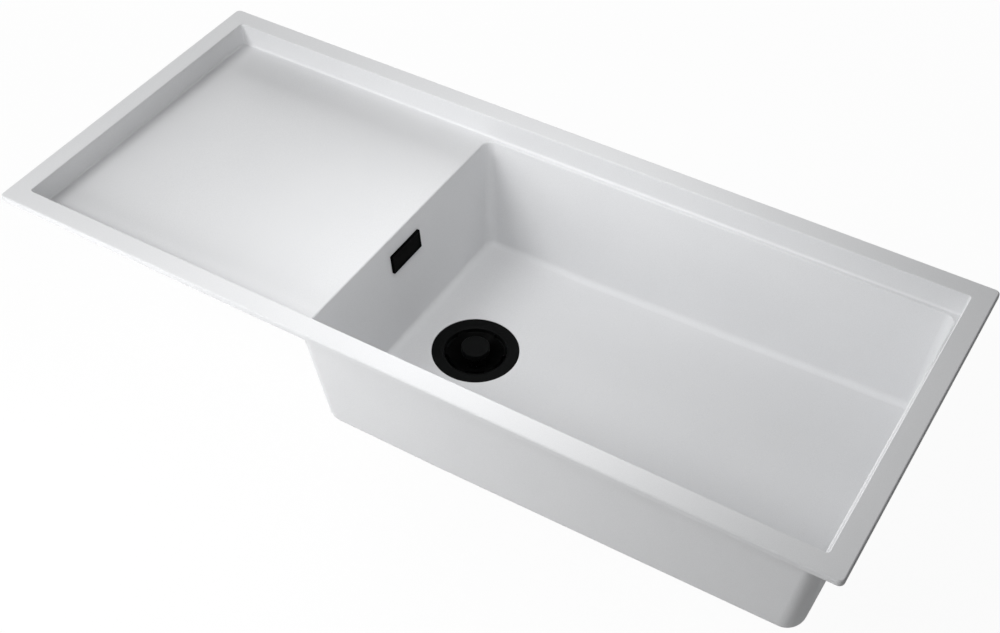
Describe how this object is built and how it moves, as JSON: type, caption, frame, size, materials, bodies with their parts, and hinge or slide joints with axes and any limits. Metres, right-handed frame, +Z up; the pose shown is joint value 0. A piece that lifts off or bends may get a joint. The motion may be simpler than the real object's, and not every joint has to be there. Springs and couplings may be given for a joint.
{
  "type": "inset kitchen sink with drainboard",
  "caption": "Inset composite sink: level drainboard on the left, deep stepped bowl on the right, basket strainer waste, wall overflow and fixing clips.",
  "frame": {"origin": "middle of the worktop cut-out, level with the worktop's top face and the rim's underside", "axes": "+X along the front edge from the drainboard to the bowl, +Y from front to back, +Z up"},
  "size_m": [1.16, 0.5, 0.2917],
  "materials": {
    "composite": "satin",
    "coated_steel": "satin",
    "black_plastic": "matte",
    "grey_plastic": "matte",
    "seal_rubber": "matte",
    "seal_foam": "matte",
    "steel": "satin",
    "zinc_steel": "satin",
    "brass": "satin"
  },
  "bodies": {
    "sink": {"sink_body": "composite", "rim_seal": "seal_foam", "strainer_flange": "coated_steel", "flange_gasket": "seal_rubber", "lower_gasket": "seal_rubber", "waste_body": "black_plastic", "waste_insert": "brass", "waste_screw": "steel", "overflow_cover": "coated_steel", "overflow_frame": "black_plastic", "overflow_screws": "steel", "overflow_gasket": "seal_rubber", "overflow_elbow": "black_plastic", "overflow_hose": "grey_plastic", "hose_nut_upper": "black_plastic", "hose_nut_lower": "black_plastic", "hose_cone_upper": "seal_rubber", "hose_cone_lower": "seal_rubber", "clip_inserts": "brass"},
    "basket": {"basket": "coated_steel"},
    "plug": {"basket_knob": "coated_steel", "basket_seal": "seal_rubber", "basket_nut": "steel"},
    "clip_washer_1": {"clip_washer_1": "zinc_steel"},
    "clip_screw_1": {"clip_screw_1": "zinc_steel"},
    "clip_claw_1": {"clip_claw_1": "zinc_steel"},
    "clip_washer_2": {"clip_washer_2": "zinc_steel"},
    "clip_screw_2": {"clip_screw_2": "zinc_steel"},
    "clip_claw_2": {"clip_claw_2": "zinc_steel"},
    "clip_washer_3": {"clip_washer_3": "zinc_steel"},
    "clip_screw_3": {"clip_screw_3": "zinc_steel"},
    "clip_claw_3": {"clip_claw_3": "zinc_steel"},
    "clip_washer_4": {"clip_washer_4": "zinc_steel"},
    "clip_screw_4": {"clip_screw_4": "zinc_steel"},
    "clip_claw_4": {"clip_claw_4": "zinc_steel"},
    "clip_washer_5": {"clip_washer_5": "zinc_steel"},
    "clip_screw_5": {"clip_screw_5": "zinc_steel"},
    "clip_claw_5": {"clip_claw_5": "zinc_steel"},
    "clip_washer_6": {"clip_washer_6": "zinc_steel"},
    "clip_screw_6": {"clip_screw_6": "zinc_steel"},
    "clip_claw_6": {"clip_claw_6": "zinc_steel"}
  },
  "joints": [
    {"name": "basket_lift", "type": "slide", "parent": "sink", "child": "basket", "axis": [0, 0, 1], "range_m": [0, 0.08]},
    {"name": "plug_lift", "type": "slide", "parent": "basket", "child": "plug", "axis": [0, 0, 1], "range_m": [0, 0.005]},
    {"name": "clip_1_travel", "type": "slide", "parent": "sink", "child": "clip_washer_1", "axis": [0, 0, 1], "range_m": [0, 0.024]},
    {"name": "clip_1_screw", "type": "hinge", "parent": "clip_washer_1", "child": "clip_screw_1", "pos_m": [0.56, -0.13, -0.085], "axis": [0, 0, 1], "range_deg": [0, 10800]},
    {"name": "clip_1_swing", "type": "hinge", "parent": "clip_washer_1", "child": "clip_claw_1", "pos_m": [0.56, -0.13, -0.083], "axis": [0, 0, 1], "range_deg": [-90, 0]},
    {"name": "clip_2_travel", "type": "slide", "parent": "sink", "child": "clip_washer_2", "axis": [0, 0, 1], "range_m": [0, 0.024]},
    {"name": "clip_2_screw", "type": "hinge", "parent": "clip_washer_2", "child": "clip_screw_2", "pos_m": [0.56, 0.13, -0.085], "axis": [0, 0, 1], "range_deg": [0, 10800]},
    {"name": "clip_2_swing", "type": "hinge", "parent": "clip_washer_2", "child": "clip_claw_2", "pos_m": [0.56, 0.13, -0.083], "axis": [0, 0, 1], "range_deg": [-90, 0]},
    {"name": "clip_3_travel", "type": "slide", "parent": "sink", "child": "clip_washer_3", "axis": [0, 0, 1], "range_m": [0, 0.024]},
    {"name": "clip_3_screw", "type": "hinge", "parent": "clip_washer_3", "child": "clip_screw_3", "pos_m": [0.315, 0.23, -0.085], "axis": [0, 0, 1], "range_deg": [0, 10800]},
    {"name": "clip_3_swing", "type": "hinge", "parent": "clip_washer_3", "child": "clip_claw_3", "pos_m": [0.315, 0.23, -0.083], "axis": [0, 0, 1], "range_deg": [-90, 0]},
    {"name": "clip_4_travel", "type": "slide", "parent": "sink", "child": "clip_washer_4", "axis": [0, 0, 1], "range_m": [0, 0.024]},
    {"name": "clip_4_screw", "type": "hinge", "parent": "clip_washer_4", "child": "clip_screw_4", "pos_m": [-0.315, 0.23, -0.085], "axis": [0, 0, 1], "range_deg": [0, 10800]},
    {"name": "clip_4_swing", "type": "hinge", "parent": "clip_washer_4", "child": "clip_claw_4", "pos_m": [-0.315, 0.23, -0.083], "axis": [0, 0, 1], "range_deg": [-90, 0]},
    {"name": "clip_5_travel", "type": "slide", "parent": "sink", "child": "clip_washer_5", "axis": [0, 0, 1], "range_m": [0, 0.024]},
    {"name": "clip_5_screw", "type": "hinge", "parent": "clip_washer_5", "child": "clip_screw_5", "pos_m": [-0.56, 0.13, -0.085], "axis": [0, 0, 1], "range_deg": [0, 10800]},
    {"name": "clip_5_swing", "type": "hinge", "parent": "clip_washer_5", "child": "clip_claw_5", "pos_m": [-0.56, 0.13, -0.083], "axis": [0, 0, 1], "range_deg": [-90, 0]},
    {"name": "clip_6_travel", "type": "slide", "parent": "sink", "child": "clip_washer_6", "axis": [0, 0, 1], "range_m": [0, 0.024]},
    {"name": "clip_6_screw", "type": "hinge", "parent": "clip_washer_6", "child": "clip_screw_6", "pos_m": [-0.56, -0.13, -0.085], "axis": [0, 0, 1], "range_deg": [0, 10800]},
    {"name": "clip_6_swing", "type": "hinge", "parent": "clip_washer_6", "child": "clip_claw_6", "pos_m": [-0.56, -0.13, -0.083], "axis": [0, 0, 1], "range_deg": [-90, 0]}
  ],
  "couplings": [
    {"joint": "clip_1_screw", "follows": "clip_1_travel", "rad_per_m": 7854},
    {"joint": "clip_2_screw", "follows": "clip_2_travel", "rad_per_m": 7854},
    {"joint": "clip_3_screw", "follows": "clip_3_travel", "rad_per_m": 7854},
    {"joint": "clip_4_screw", "follows": "clip_4_travel", "rad_per_m": 7854},
    {"joint": "clip_5_screw", "follows": "clip_5_travel", "rad_per_m": 7854},
    {"joint": "clip_6_screw", "follows": "clip_6_travel", "rad_per_m": 7854}
  ]
}
